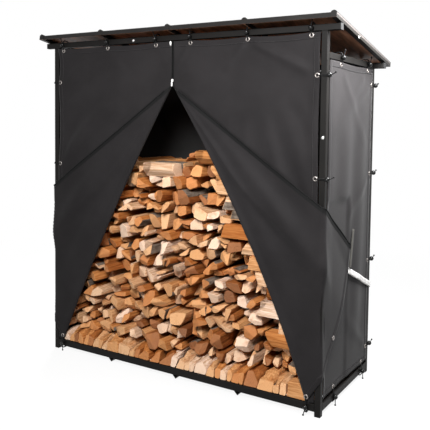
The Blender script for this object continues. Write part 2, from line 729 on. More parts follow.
FLAP_ROWS, FLAP_COLS = 150, 72
FLAP_START = 0.003
FLAP_HOLE = (0.0043, 0.0085)
for name, side in SIDES.items():
    rays = stack(np.linspace(FLAP_START, 1, FLAP_ROWS)[:, None],
                 np.linspace(0, 1, FLAP_COLS)[None, :]).copy()
    eyes = [flap_place(*flat, side) for flat in flap_eyes(side)]
    faces = punched(rays, grid_faces(FLAP_ROWS, FLAP_COLS, flip=side > 0), eyes, half=FLAP_HOLE)
    r, t = rays[..., 0], rays[..., 1]
    flap = patch(flap_point(r, t, side), [faces], uv=flap_flat(r, t, side))
    node = f"{name}_flap"
    piece = build(f"turned_back_{name}", [flap], [outer_cloth, inner_cloth], [node], CLOTH_THICK)
    area = (FOLD_X / 2 - FOLD_BOW[side] * 2 / 3) * (APEX_Z - CORNER_Z)
    print(node, "flat area", round(area, 3), "m2")

# %% [markdown]
# ## Side and back covers
# These are plain rectangles between the posts, laced at the top, the bottom and the uprights. They
# hang flatter than the front: broad hollows between the ties, and short ridges at the held corners.

# %% Side cover
SIDE_EYES = [(EYE_Y, z) for z in SIDE_ROW_Z]
SIDE_LINES = [
    ((SIDE_TIE_Y[0], SIDE_TOP - EYE_EDGE), (SIDE_Y1 - 0.06, 1.20), 0.004, 0.022),
    ((SIDE_TIE_Y[1], SIDE_TOP - EYE_EDGE), (SIDE_Y0 + 0.05, 1.30), 0.003, 0.022),
    (SIDE_EYES[1], (SIDE_Y0 + 0.10, 0.80), 0.004, 0.022),
    (SIDE_EYES[0], (SIDE_Y0 + 0.20, 1.40), 0.003, 0.020),
    (SIDE_EYES[3], (SIDE_Y0 + 0.25, 0.40), 0.004, 0.022),
]
UNDER_FLAP_Z = 1.02
SIDE_FOLD, SIDE_BILLOW = 0.004, 0.005
HEM_SWAG, POST_SWAG = 0.006, 0.007


def side_relief(y, z, side):
    """Broad upright folds that grow towards the hem, with ridges from the upper ties."""
    across = (y - SIDE_Y0) / (SIDE_Y1 - SIDE_Y0)
    down = (SIDE_TOP - z) / (SIDE_TOP - HEM_Z)
    folds = SIDE_FOLD * np.sin(5.2 * across * np.pi + 2.2 * down + side)
    folds = folds * soft(down * 3) * soft((1 - down) * 4)
    lines = sum(ridge(y, z, *line) for line in SIDE_LINES)
    held = np.sin(np.pi * np.clip(across, 0, 1)) ** 0.5
    billow = SIDE_BILLOW * np.sin(np.pi * np.clip(down, 0, 1)) ** 1.5
    under = soft((TIP[0] + 0.03 - y) / 0.05) * soft((UNDER_FLAP_Z - z) / 0.05)
    tucked = UNDER_DEEP * under * soft((y - SIDE_Y0) / EDGE_SOFT)
    return ((folds + billow) * held + lines) * (1 - under) - tucked


def side_point(y, z, side, lift=0.0):
    """Point of a side cover over the flat place (y, z)."""
    slack = swag(y, SIDE_TIE_Y, HEM_SWAG) * soft((z - SIDE_TOP + SWAG_REACH) / SWAG_REACH)
    rise = swag(y, SIDE_TIE_Y, HEM_SWAG) * soft((HEM_Z + SWAG_REACH - z) / SWAG_REACH)
    pull = swag(z, SIDE_ROW_Z, POST_SWAG) * soft((y - SIDE_Y1 + SWAG_REACH) / SWAG_REACH)
    return stack(side * (POST_X + side_relief(y, z, side) + lift), y - pull, z - slack + rise)


SIDE_ROWS, SIDE_COLS = 140, 54
for name, side in SIDES.items():
    flat = stack(np.linspace(SIDE_Y0, SIDE_Y1, SIDE_COLS)[None, :],
                 np.linspace(HEM_Z, SIDE_TOP, SIDE_ROWS)[:, None]).copy()
    holes = [(y, z) for y in SIDE_TIE_Y for z in (SIDE_TOP - EYE_EDGE, HEM_Z + EYE_EDGE)]
    faces = punched(flat, grid_faces(SIDE_ROWS, SIDE_COLS), SIDE_EYES + holes)
    faces = faces if side > 0 else faces[:, ::-1]
    sheet = patch(side_point(flat[..., 0], flat[..., 1], side), [faces], uv=flat)
    piece = build(f"side_cloth_{name}", [sheet], [outer_cloth, inner_cloth], [f"{name}_cover"],
                  CLOTH_THICK)

# %% Back cover
TOP_EYE_Z, FOOT_EYE_Z = SIDE_TOP - EYE_EDGE, HEM_Z + EYE_EDGE
BACK_WAVE, BACK_FINE = 0.008, 0.005
BACK_TOP_SWAG, BACK_TOP_LIFT = 0.002, 0.0035
BACK_LINES = []
for x0, x1 in zip(TOP_X[:-1], TOP_X[1:]):
    BACK_LINES.append(((x0, TOP_EYE_Z), (x1 + 0.05, TOP_EYE_Z - 0.45), 0.008, 0.018))
    BACK_LINES.append(((x1, FOOT_EYE_Z), (x0 - 0.05, FOOT_EYE_Z + 0.4), 0.007, 0.018))


def back_relief(x, z):
    """Hollows between the ties and a slow wave along the width."""
    down = (SIDE_TOP - z) / (SIDE_TOP - HEM_Z)
    held = soft((COVER_X - abs(x)) / 0.2) * soft(down * 4) * soft((1 - down) * 4)
    waves = BACK_WAVE * np.sin(7 * x + 2.5 * down) + BACK_FINE * np.sin(17 * x - 3 * down)
    lines = sum(ridge(abs(x), z, *line) for line in BACK_LINES)
    return waves * held + lines


def back_point(x, z, lift=0.0):
    """Point of the back cover over the flat place (x, z)."""
    ties = np.concatenate([TOP_X, -TOP_X])
    by_top = soft((z - SIDE_TOP + SWAG_REACH) / SWAG_REACH)
    slack = (swag(x, ties, BACK_TOP_SWAG) - BACK_TOP_LIFT) * by_top
    rise = swag(x, ties, HEM_SWAG) * soft((HEM_Z + SWAG_REACH - z) / SWAG_REACH)
    pull = swag(z, SIDE_ROW_Z, POST_SWAG) * soft((abs(x) - COVER_X + SWAG_REACH) / SWAG_REACH)
    return stack(x - np.sign(x) * pull, REAR_Y + back_relief(x, z) + lift, z - slack + rise)


BACK_ROWS, BACK_COLS = 120, 130
flat = stack(np.linspace(-COVER_X, COVER_X, BACK_COLS)[None, :],
             np.linspace(HEM_Z, SIDE_TOP, BACK_ROWS)[:, None]).copy()
BACK_HOLES = [(s * EYE_X, z) for s in (-1, 1) for z in SIDE_ROW_Z]
BACK_HOLES += [(s * x, z) for s in (-1, 1) for x in TOP_X for z in (TOP_EYE_Z, FOOT_EYE_Z)]
faces = punched(flat, grid_faces(BACK_ROWS, BACK_COLS, flip=True), BACK_HOLES)
sheet = patch(back_point(flat[..., 0], flat[..., 1]), [faces], uv=flat)
piece = build("back_cloth", [sheet], [outer_cloth, inner_cloth], ["back_cover"], CLOTH_THICK)

# %% [markdown]
# ## Hems and stitches
# Each edge is turned over once and sewn down, which doubles the cloth along a band of 30 mm. A band
# is the same surface again, a little higher, and a row of thread runs along its inner edge.

# %% Hem bands
HEM_W, HEM_LIFT = 0.030, 0.0007
HEM_ROWS, HEM_PITCH = 5, 0.009
STITCH_PITCH, STITCH_FILL = 0.0075, 0.55
THREAD_W, THREAD_H = 0.0011, 0.0006


def band(surface, u, v, rows, cols, flip):
    """Band of a surface between two values of u and two of v, lifted by one layer of cloth."""
    u = np.linspace(*u, cols)[None, :]
    v = np.linspace(*v, rows)[:, None]
    uv = stack(u, v)
    return patch(surface(uv[..., 0], uv[..., 1], HEM_LIFT), [grid_faces(rows, cols, flip)], uv=uv)


def stitches(surface, start, end, out):
    """Threads along a straight line of the cut: each a small box about half as long as the pitch."""
    start, end = np.array(start), np.array(end)
    count = int(np.hypot(*(end - start)) / STITCH_PITCH)
    share = (np.arange(count)[:, None] + np.array([0.0, STITCH_FILL])) / count
    at = start + (end - start) * share[..., None]
    low_pts = surface(at[..., 0], at[..., 1], HEM_LIFT)
    across = np.cross(low_pts[:, 1] - low_pts[:, 0], out)
    across *= THREAD_W / 2 / np.linalg.norm(across, axis=1, keepdims=True)
    base = np.stack([low_pts - across[:, None], low_pts + across[:, None]], axis=2)
    box = np.stack([base, base + THREAD_H * np.array(out)], axis=3).reshape(count, 8, 3)
    return patch(box, repeated([CUBE_FACES], count, len(CUBE)))


print("stitches on a metre:", int(1 / STITCH_PITCH))


# %% Hems of every cover
hem_bands, threads = [], []
SEWN_IN = HEM_W - 0.004


def hem_edges(surface, u0, u1, v0, v1, out, flip, edges):
    """Bands and stitches along the named edges of a rectangular cut."""
    spans = {
        "top": ((u0, u1), (v1 - HEM_W, v1), (u0, v1 - SEWN_IN), (u1, v1 - SEWN_IN)),
        "foot": ((u0, u1), (v0, v0 + HEM_W), (u0, v0 + SEWN_IN), (u1, v0 + SEWN_IN)),
        "near": ((u0, u0 + HEM_W), (v0, v1), (u0 + SEWN_IN, v0), (u0 + SEWN_IN, v1)),
        "far": ((u1 - HEM_W, u1), (v0, v1), (u1 - SEWN_IN, v0), (u1 - SEWN_IN, v1)),
    }
    for edge in edges:
        u, v, start, end = spans[edge]
        flat_run = edge in ("top", "foot")
        rows = HEM_ROWS if flat_run else int((v1 - v0) / HEM_PITCH)
        cols = int((u1 - u0) / HEM_PITCH) if flat_run else HEM_ROWS
        hem_bands.append(band(surface, u, v, rows, cols, flip))
        threads.append(stitches(surface, start, end, out))


ALL_ROUND = ["top", "foot", "near", "far"]
ZIP_SIDE = 0.008
for side in (-1, 1):
    def front(x, z, lift, side=side):
        return front_point(x, z, side, lift)

    def flank(y, z, lift, side=side):
        return side_point(y, z, side, lift)

    hem_edges(front, ZIP_SIDE, COVER_X, CORNER_Z, FRONT_TOP, (0, -1, 0), side < 0, ["top", "far"])
    hem_edges(flank, SIDE_Y0, SIDE_Y1, HEM_Z, SIDE_TOP, (side, 0, 0), side < 0, ALL_ROUND)
hem_edges(back_point, -COVER_X, COVER_X, HEM_Z, SIDE_TOP, (0, 1, 0), True, ALL_ROUND)
FLAP_HEM_COLS = 80
for side in (-1, 1):
    share = np.linspace(0.02, TUCK_SHARE, FLAP_HEM_COLS)[None, :]
    inwards = np.linspace(1 - HEM_W / FOLD_LEN, 1, HEM_ROWS)[:, None]
    strip = flap_point(inwards, share, side, HEM_LIFT)
    faces = grid_faces(HEM_ROWS, FLAP_HEM_COLS, flip=side > 0)
    hem_bands.append(patch(strip, [faces], uv=flap_flat(inwards, share, side)))
build("hems", hem_bands, [hem_cloth], thick=0.001)
thread_cloth = moulded_plastic("thread", (0.030, 0.029, 0.029, 1), 0.7)
build("stitching", threads, [thread_cloth], flat_shaded=True)
print("stitches:", sum(len(p["points"]) // len(CUBE) for p in threads))

# %% [markdown]
# ## Shapes turned on an axis, and cords
# Eyelets, balls and screw heads are profiles turned on an axis, and one of them is copied to many
# places at once by adding a whole array of places. A cord is a circle carried along a path.


# %% Turned profiles and tubes
def lathe(profile, sides):
    """Turns (radius, height) pairs round +Z. A radius of 0 at an end closes it with a fan."""
    profile = np.asarray(profile, float)
    turn = np.linspace(0, 2 * np.pi, sides, endpoint=False)
    inner = profile[profile[:, 0] > 0]
    ring = stack(inner[:, :1] * np.cos(turn), inner[:, :1] * np.sin(turn), inner[:, 1:]).reshape(-1, 3)
    faces = [grid_faces(len(inner), sides, wrap=True)]
    points = [ring]
    if profile[0, 0] == 0:
        points.append([[0, 0, profile[0, 1]]])
        faces.append(fan(0, len(ring), sides, flip=True))
    if profile[-1, 0] == 0:
        faces.append(fan(len(ring) - sides, len(ring) + len(points) - 1, sides))
        points.append([[0, 0, profile[-1, 1]]])
    return np.concatenate(points), faces


def copies(points, faces, places, outs, finish=0):
    """The shape at each place, with its +Z turned to each outward direction."""
    places, outs = np.asarray(places, float), np.asarray(outs, float)
    side = np.cross(outs, np.where(abs(outs[:, 2:]) > 0.9, [1.0, 0, 0], [0, 0, 1.0]))
    side /= np.linalg.norm(side, axis=1, keepdims=True)
    axes = np.stack([side, np.cross(outs, side), outs], axis=1)
    moved = places[:, None] + np.einsum("pk,nkj->npj", points, axes)
    return patch(moved, repeated(faces, len(places), len(points)), finish)


def tube(path, across, radius, sides=8, finish=0):
    """A circle carried along a path that lies in the plane square to across, with closed ends."""
    path = np.asarray(path, float)
    ahead_of = np.gradient(path, axis=0)
    ahead_of /= np.linalg.norm(ahead_of, axis=1, keepdims=True)
    binormal = np.cross(ahead_of, across)
    turn = np.linspace(0, 2 * np.pi, sides, endpoint=False)[:, None]
    spokes = binormal[:, None] * np.cos(turn) + np.array(across) * np.sin(turn)
    rings = path[:, None] + radius * spokes
    points = np.concatenate([rings.reshape(-1, 3), path[:1], path[-1:]])
    pole = len(path) * sides
    caps = [fan(0, pole, sides, flip=True), fan(pole - sides, pole + 1, sides)]
    return patch(points, [grid_faces(len(path), sides, wrap=True), *caps], finish)


def through(points, count=24):
    """A smooth path through a few points, as a Catmull-Rom curve."""
    p = np.asarray(points, float)
    p = np.concatenate([2 * p[:1] - p[1:2], p, 2 * p[-1:] - p[-2:-1]])
    s = np.linspace(0, len(p) - 3 - 1e-9, count)
    i = s.astype(int)
    f = (s - i)[:, None]
    a, b, c, d = p[i], p[i + 1], p[i + 2], p[i + 3]
    square, cube = 2 * a - 5 * b + 4 * c - d, 3 * b - a - 3 * c + d
    return 0.5 * (2 * b + (c - a) * f + square * f**2 + cube * f**3)


BALL_R, POLE_ANGLE = 0.0125, 0.3
bands = np.linspace(POLE_ANGLE, np.pi - POLE_ANGLE, 9)
BALL = [(0, -BALL_R), *((BALL_R * np.sin(v), -BALL_R * np.cos(v)) for v in bands), (0, BALL_R)]
print("ball profile points:", len(BALL))

# %% [markdown]
# ## Eyelets
# A brass eyelet is pressed from both sides, so its rim is rolled over and its barrel goes through the
# cloth. The profile below is that roll. The nickel plate is dulled where the cord rubs.


# %% Eyelets
def plated_metal(name, colour, roughness):
    """Metal plate with clouds in its colour and its gloss."""
    finish = Finish(name, colour, roughness, Metallic=1.0)
    clouds = finish.place.noise(180, 3)
    finish.wire(Roughness=clouds * 0.25 + (roughness - 0.1))
    finish.wire(Base_Color=clouds.between(0.35, 0.7).blend(tint(colour, 0.8), tint(colour, 1.05)))
    return finish


nickel = plated_metal("nickel_plate", (0.27, 0.245, 0.23, 1), 0.38)
RIM = [(0.0060, -0.0022), (0.0060, 0.0003), (0.0065, 0.0012), (0.0077, 0.0018), (0.0094, 0.0017)]
RIM += [(0.0110, 0.0011), (0.0119, 0.0003), (0.0120, -0.0007)]
EYELET = lathe(RIM, 24)
EYELET_LIFT = 0.0014


def eyelet_places():
    """Places and outward directions of the eyelets of each cover, by node."""
    found = {"front_eyelets": [], "left_eyelets": [], "right_eyelets": [], "back_eyelets": []}
    for name, side in SIDES.items():
        x, z = np.array(FRONT_TIES + FRONT_EYES).T
        found["front_eyelets"].append((front_point(x, z, side), (0, -1, 0)))
        corner, hem = (flap_point(*flap_place(*flat, side), side) for flat in flap_eyes(side))
        found["front_eyelets"] += [(corner[None], (0, -1, 0)), (hem[None], (side, 0, 0))]
        y = np.concatenate([np.full(4, EYE_Y), np.repeat(SIDE_TIE_Y, 2)])
        z = np.concatenate([SIDE_ROW_Z, np.tile([TOP_EYE_Z, FOOT_EYE_Z], 2)])
        found[f"{name}_eyelets"].append((side_point(y, z, side), (side, 0, 0)))
    x, z = np.array(BACK_HOLES).T
    found["back_eyelets"].append((back_point(x, z), (0, 1, 0)))
    return found


for node, groups in eyelet_places().items():
    places = np.concatenate([p + EYELET_LIFT * np.array(out) for p, out in groups])
    outs = np.concatenate([np.tile(out, (len(p), 1)) for p, out in groups])
    build(f"{node}_rolled", [copies(*EYELET, places, outs)], [nickel], [node])

# %% [markdown]
# ## Elastic ties
# Each tie is a loop of elastic with a ball. It comes out of the eyelet, passes over the tube, and the
# ball holds it there. Two strands lie side by side, and the knotted ends stand out past the ball.

# %% Tie finishes and one tie
elastic = moulded_plastic("elastic_cord", (0.006, 0.006, 0.006, 1), 0.7, Specular_IOR_Level=0.15)
ball_gloss = moulded_plastic("ball_gloss", (0.005, 0.005, 0.005, 1), 0.26, Specular_IOR_Level=0.2)
CORD_R, CORD_SIDES = 0.0021, 7
STRAND_GAP = 0.0028
BEHIND, OVER_CLOTH, OVER_TUBE = 0.010, 0.0032, 0.0035
END_KNOT, INNER_KNOT = 0.36, 0.6


def knot(place, out, share, sides):
    """A knot in a cord: the ball's profile, made smaller by share."""
    return copies(*lathe(share * np.array(BALL), sides), [place], [out])


def inner_knot(eye, out):
    """The knot that stops a tie behind its eyelet."""
    return knot(eye - np.asarray(out) * 0.0095, out, INNER_KNOT, 12)


def ball_tie(eye, out, run, reach, ball_out, wrap_depth, tilt):
    """Two strands from the eyelet along run to a ball, on over the tube, and two knotted ends.

    eye is the eyelet's middle, out points away from the cover, and wrap_depth is the tube behind. A
    stop of a strand says how far it is along run, how far out, and if the strands lie apart there.
    """
    eye, out, run = (np.asarray(v, float) for v in (eye, out, run))
    across = np.cross(run, out)
    ball = eye + run * reach + out * ball_out
    back = -wrap_depth - 0.003
    to_ball = [(0, -BEHIND, 0), (0.004, OVER_CLOTH, 0), (reach * 0.5, 0.0040, 1), (reach, ball_out, 1)]
    over = [(reach, ball_out, 1), (reach + 0.021, OVER_TUBE, 1), (reach + 0.0255, -wrap_depth * 0.3, 1)]
    over += [(reach + 0.0205, back, 1), (reach * 0.7, back, 1)]
    parts = []
    for gap in (-STRAND_GAP, STRAND_GAP):
        for stops, count in ((to_ball, 16), (over, 20))[:2 if wrap_depth else 1]:
            path = [eye + run * along + out * height + across * gap * apart for along, height, apart in stops]
            parts.append(tube(through(path, count), across, CORD_R, CORD_SIDES))
    up = np.array([0, 0, 1.0 if run[2] >= 0 else -1.0])
    aside = np.cross(up, out) * 0.008 * tilt + out * 0.004
    end = [ball, ball + run * 0.014 + up * 0.004 + aside * 0.5, ball + run * 0.024 + up * 0.012 + aside]
    parts.append(tube(through(end, 8), out, CORD_R, CORD_SIDES))
    parts.append(knot(end[-1], run, END_KNOT, 10))
    parts.append(copies(*lathe(BALL, 24), [ball], [run], 1))
    parts.append(inner_knot(eye, out))
    return parts


def hidden_tie(eye):
    """A tie on the left post: two strands round its front and side to a ball behind it."""
    ball = np.array([-POST_X + 0.013, FRONT_Y + TUBE + 0.014, eye[2]])
    corners = [(0.006 - POST_X, -0.003), (-POST_X - 0.003, 0.004), (-POST_X - 0.003, TUBE + 0.001)]
    parts = [copies(*lathe(BALL, 24), [ball], [(1, 0, 0)], 1), inner_knot(eye, (0, -1, 0))]
    for rise in (-STRAND_GAP, STRAND_GAP):
        round_post = [(x, FRONT_Y + y, eye[2] + rise) for x, y in corners]
        path = [eye + (0, BEHIND, 0), eye + (-0.004, -OVER_CLOTH, rise), *round_post, ball + (0, 0, rise)]
        parts.append(tube(through(path, 30), (0, 0, 1), CORD_R, CORD_SIDES))
    return parts


print("strands of", 2000 * CORD_R, "mm, balls of", 2000 * BALL_R, "mm")


# %% Ties of every cover
BALL_OUT, BALL_NEAR = 0.0128, 0.003
RAIL_MIDDLE = (RAIL_Z + RAIL_TOP) / 2
ACROSS = EYE_EDGE + (SPAN_X - COVER_X) + TUBE + BALL_OUT
UP = EYE_EDGE + 0.004 + TUBE / 2
DOWN = EYE_EDGE + HEM_Z - RAIL_MIDDLE
ENDS = ((TOP_EYE_Z, 1, UP), (FOOT_EYE_Z, -1, DOWN))
ties = {"front_ties": [], "left_ties": [], "right_ties": [], "back_ties": []}
for name, side in SIDES.items():
    out = (side, 0, 0)
    for x in TOP_X:
        eye = front_point(x, FRONT_TOP - EYE_EDGE, side)
        ties["front_ties"] += ball_tie(eye, (0, -1, 0), (0, 0, 1), UP, BALL_OUT, TUBE, side)
        for z, way, far in ENDS:
            eye = back_point(side * x, z)
            ties["back_ties"] += ball_tie(eye, (0, 1, 0), (0, 0, way), far, BALL_OUT, TUBE, side)
    eye = flap_point(*flap_place(*flap_eyes(side)[0], side), side)
    far, ball_out = eye[2] - RAIL_MIDDLE, max(eye[1] + BALL_OUT - FRONT_Y, BALL_NEAR)
    ties["front_ties"] += ball_tie(eye, (0, -1, 0), (0, 0, -1), far, ball_out, TUBE, side)
    for z in FRONT_ROW_Z:
        eye = front_point(EYE_X, z, side)
        if side > 0:
            ties["front_ties"] += ball_tie(eye, (0, -1, 0), out, ACROSS, BALL_NEAR, 0, 1)
        else:
            ties["front_ties"] += hidden_tie(eye)
    for z in SIDE_ROW_Z:
        eye = side_point(EYE_Y, z, side)
        ties[f"{name}_ties"] += ball_tie(eye, out, (0, 1, 0), ACROSS, BALL_NEAR, 0, side)
    for y in SIDE_TIE_Y:
        for z, way, far in ENDS:
            eye = side_point(y, z, side)
            ties[f"{name}_ties"] += ball_tie(eye, out, (0, 0, way), far, BALL_OUT, TUBE, side)
for node, parts in ties.items():
    build(f"{node}_elastic", parts, [elastic, ball_gloss], [node])

# %% [markdown]
# ## Zip
# The closed part runs from the top hem to the slider. Below it each flap keeps its half of the zip,
# a dark tape with teeth along the free edge. A tooth is a small block, repeated by one array.

# %% Zip tape and teeth
zip_black = moulded_plastic("zip_black", (0.005, 0.005, 0.005, 1), 0.65, Specular_IOR_Level=0.12)
slider_white = moulded_plastic("slider_white", (0.82, 0.80, 0.78, 1), 0.3)
TOOTH = np.array([0.0030, 0.0016, 0.0011])
TOOTH_PITCH, TOOTH_LIFT = 0.0042, 0.0024
TAPE_W, TAPE_LIFT, TAPE_COLS = 0.007, 0.0012, 4


def teeth(places, inwards, out):
    """A row of blocks at the places: long towards inwards, thin along out."""
    inwards, out = np.broadcast_to(inwards, places.shape), np.broadcast_to(out, places.shape)
    axes = np.stack([inwards, np.cross(out, inwards), out], axis=1) * TOOTH[None, :, None]
    points = places[:, None] + np.einsum("pk,nkj->npj", CUBE, axes)
    return patch(points, repeated([CUBE_FACES], len(places), len(CUBE)))


TAPE_ROWS = 60
closed_z = np.arange(APEX_Z + 0.012, FRONT_TOP - 0.004, TOOTH_PITCH)
parts = []
for side in (-1, 1):
    z = np.linspace(APEX_Z + 0.002, FRONT_TOP, TAPE_ROWS)[:, None]
    flat = stack(np.linspace(ZIP_GAP, TAPE_W, TAPE_COLS)[None, :], z)
    tape = front_point(flat[..., 0], flat[..., 1], side, TAPE_LIFT)
    parts.append(patch(tape, [grid_faces(TAPE_ROWS, TAPE_COLS, side < 0)], uv=flat))
    shifted = closed_z + (TOOTH_PITCH / 2 if side > 0 else 0)
    parts.append(teeth(stack(side * 0.0014, FRONT_Y - 0.0022, shifted), (1.0, 0, 0), (0, -1.0, 0)))
build("closed_zip", parts, [zip_black], ["zip"])

# %% Half zips on the flaps
FLAP_TAPE_W, FLAP_TAPE_ROWS = 0.017, 160
EDGE_LEN, ZIP_LEN = 0.72, 1.35
EDGE_T, INNER_T = 1 - 0.001 / 0.7, 0.96
TEETH_FROM, TEETH_TO, TAPE_MOST = 0.04, 0.995, 0.8
parts = []
for side in (-1, 1):
    r = np.linspace(FLAP_START, 1, FLAP_TAPE_ROWS)[:, None]
    t = 1 - np.linspace(0, 1, TAPE_COLS)[None, :] * np.minimum(FLAP_TAPE_W / (r * EDGE_LEN), TAPE_MOST)
    strip = flap_point(r, t, side, TAPE_LIFT)
    faces = grid_faces(FLAP_TAPE_ROWS, TAPE_COLS, side < 0)
    parts.append(patch(strip, [faces], uv=flap_flat(r, t, side)))
    r = np.linspace(TEETH_FROM, TEETH_TO, int(ZIP_LEN / TOOTH_PITCH))
    at = flap_point(r, EDGE_T, side, TOOTH_LIFT)
    into = flap_point(r, INNER_T, side, TOOTH_LIFT) - at
    into /= np.linalg.norm(into, axis=1, keepdims=True)
    out = np.cross(np.gradient(at, axis=0), into) * side
    out /= np.linalg.norm(out, axis=1, keepdims=True)
    parts.append(teeth(at, into, out))
build("half_zips", parts, [zip_black])


# %% Slider and pull
def slab(outline, y, thick, bulge):
    """A rounded plate in the front plane: rings from its middle out, over the rim and back."""
    outline = np.asarray(outline, float)
    middle = outline.mean(axis=0)
    scales = np.array([0.02, 0.6, 0.9, 1.0, 1.0, 0.9, 0.02])
    depths = np.array([-bulge, -bulge * 0.8, -bulge * 0.3, thick * 0.25, thick * 0.75, thick, thick])
    flat = middle + (outline - middle) * scales[:, None, None]
    points = stack(flat[..., 0], y + depths[:, None], flat[..., 1])
    return patch(points, [grid_faces(len(scales), len(outline), wrap=True)])


SQUARENESS = 0.55
TAB_PLACE = [-0.0106, 1.769]
turn = np.linspace(0, 2 * np.pi, 28, endpoint=False)
circle = np.stack([np.cos(turn), np.sin(turn)], axis=1)
rounded = np.sign(circle) * abs(circle) ** SQUARENESS
SLIDER = (low("zip_slider") + high("zip_slider")) / 2
# Half width and height, how much wider the top is, place, distance out, thickness and bulge.
SLABS = {
    "body": ([0.0058, 0.0075], 0.18, [0, SLIDER[2] + 0.006], 0.0058, 0.004, 0.0005),
    "bridge": ([0.0022, 0.0060], 0, [0, SLIDER[2] + 0.005], 0.0085, 0.003, 0.0006),
    "pull": ([0.0042, 0.0120], -0.12, [0, SLIDER[2] - 0.010], 0.0100, 0.0022, 0.0006),
    "tab": ([0.0050, 0.0105], 0, TAB_PLACE, 0.0080, 0.0022, 0.0005),
}
parts = []
for half, wider, place, out, thick, bulge in SLABS.values():
    outline = rounded * half * (1 + wider * rounded[:, 1:]) + place
    parts.append(slab(outline, FRONT_Y - out, thick, bulge))
build("slider_and_pull", parts, [slider_white], ["zip_slider"])

# %% [markdown]
# ## Straps
# A flat webbing strap runs from each flap's corner to the rear post and in behind it. A narrow tape
# leads up from the same corner. Webbing is a flat profile carried along its path, with herringbone
# ribs as bump.

# %% Webbing
RIB_PITCH = 0.0035


def webbing(name, colour, sheen):
    """Woven strap: soil in the colour, and ribs at a slant to both sides of its middle as bump."""
    finish = Finish(name, colour, 0.75, Sheen_Weight=sheen)
    cut = finish.mapped()
    ribs = ((cut.axis("X").math("ABSOLUTE") + cut.axis("Y")) * (2 * np.pi / RIB_PITCH)).math("SINE")
    soil = cut.noise(28, 4)
    finish.wire(Base_Color=soil.between(0.35, 0.75).blend(tint(colour, 0.78), tint(colour, 1.06)))
    finish.bump(ribs, 0.35, 0.0005)
    return finish


strap_webbing = webbing("white_webbing", (0.80, 0.78, 0.76, 1), 0.2)
tape_webbing = webbing("beige_tape", (0.034, 0.031, 0.024, 1), 0.03)


def ribbon(path, across, width, finish, flip):
    """A flat strip of the given width carried along a path, five points across."""
    path = np.asarray(path, float)
    share = np.linspace(-0.5, 0.5, 5)
    points = path[:, None] + np.asarray(across) * (share * width)[None, :, None]
    length = np.concatenate([[0], np.cumsum(np.linalg.norm(np.diff(path, axis=0), axis=1))])
    uv = stack((share * width)[None, :], length[:, None])
    return patch(points, [grid_faces(len(path), 5, flip)], finish, uv)


print("webbing:", strap_webbing.material.name, tape_webbing.material.name)

# %% Straps and tapes
STRAP_W, STRAP_THICK, TAPE_WIDE = 0.030, 0.0013, 0.028
STRAP_END_Z = SIDE_ROW_Z[2] - 0.142
STRAP_ACROSS, TAPE_ACROSS = (0, 0.30, 0.95), (0, 0.95, -0.26)
STRAP_LIFT = np.linspace(0.012, 0.004, 9)
TAPE_LIFTS = np.linspace(0.014, 0.008, 4)


def over_side(y, z, side, lift):
    """Points that lie a lift away from the side cover, or from the post's face if that is further out."""
    return stack(side * (POST_X + np.maximum(side_relief(y, z, side), 0) + lift), y, z)


for name, side in SIDES.items():
    y = np.linspace(TIP[0] - 0.010, REAR_Y - 0.010, 9)
    z = np.linspace(TIP[1] + 0.002, STRAP_END_Z + 0.006, 9) - 0.002 * np.sin(np.linspace(0, np.pi, 9))
    behind = [(side * (POST_X + 0.002), REAR_Y + 0.0012, STRAP_END_Z)]
    behind += [(side * SPAN_X, REAR_Y + 0.0018, STRAP_END_Z)]
    path = through([*over_side(y, z, side, STRAP_LIFT), *behind], 46)
    parts = [ribbon(path, STRAP_ACROSS, STRAP_W, 0, side > 0)]
    y = np.linspace(TIP[0] + 0.006, TIP[0] + 0.058, 4)
    z = np.linspace(TIP[1] + 0.010, TIP[1] + 0.200, 4)
    path = through(over_side(y, z, side, TAPE_LIFTS), 20)
    parts.append(ribbon(path, TAPE_ACROSS, TAPE_WIDE, 1, side < 0))
    build(f"strap_{name}", parts, [strap_webbing, tape_webbing], [f"{name}_strap"], STRAP_THICK)

# %% [markdown]
# ## Screws
# Zinc-plated pan heads close the tube joints. Only those that the picture shows are made, and the one
# on the roof's right edge again on the left: one low dome with a washer, copied to each place.

# %% Screws
zinc = plated_metal("zinc_plate", (0.80, 0.80, 0.79, 1), 0.30)
PAN_HEAD = [(0.0075, -0.0005), (0.0075, 0.0008), (0.0056, 0.0010), (0.0053, 0.0022), (0.0040, 0.0033)]
PAN_HEAD += [(0.0018, 0.0036), (0, 0.0037)]
BEAM_SCREW_X, POST_SCREW_Z = -0.263, 1.299
EDGE_SCREW_Y, EDGE_SCREW_Z = -0.112, 1.775
beam_z = (low("front_top_beam")[2] + high("front_top_beam")[2]) / 2
roof_edge_x = high("right_roof_edge")[0]
places = [(BEAM_SCREW_X, FRONT_Y, beam_z), ((SPAN_X + POST_X) / 2, FRONT_Y, POST_SCREW_Z)]
outs = [(0, -1, 0), (0, -1, 0)]
places += [(s * roof_edge_x, EDGE_SCREW_Y, EDGE_SCREW_Z) for s in (-1, 1)]
outs += [(s, 0, 0) for s in (-1, 1)]
build("screws", [copies(*lathe(PAN_HEAD, 16), places, outs)], [zinc])

# %% [markdown]
# ## Firewood
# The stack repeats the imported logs' net of corners, course by course, with the same scatter formula.
# Each cell of the net then holds one split log or two. A log's outline is the soft meeting of a few
# flat cuts, in polar form, so every outline of the stack is one array and none leaves its cell.

# %% The net of corners
HALF_COLS, LOG_ROWS = 44, 15
STACK_HW, STACK_Z, STACK_H = SPAN_X - 0.004, RAIL_TOP + 0.0002, 1.084
CELL_W, CELL_H = 2 * STACK_HW / HALF_COLS, STACK_H / LOG_ROWS
CROSS_SHOW, CROSS_LEN, CROSS_DEEP = 0.120, 8, 6
LOG_FRONT, LOG_SCATTER, LOG_LEN, LOG_BACK = 0.010, 0.034, 0.620, 0.016
VARY_X, VARY_Z = 0.2 * 1.4, 0.2


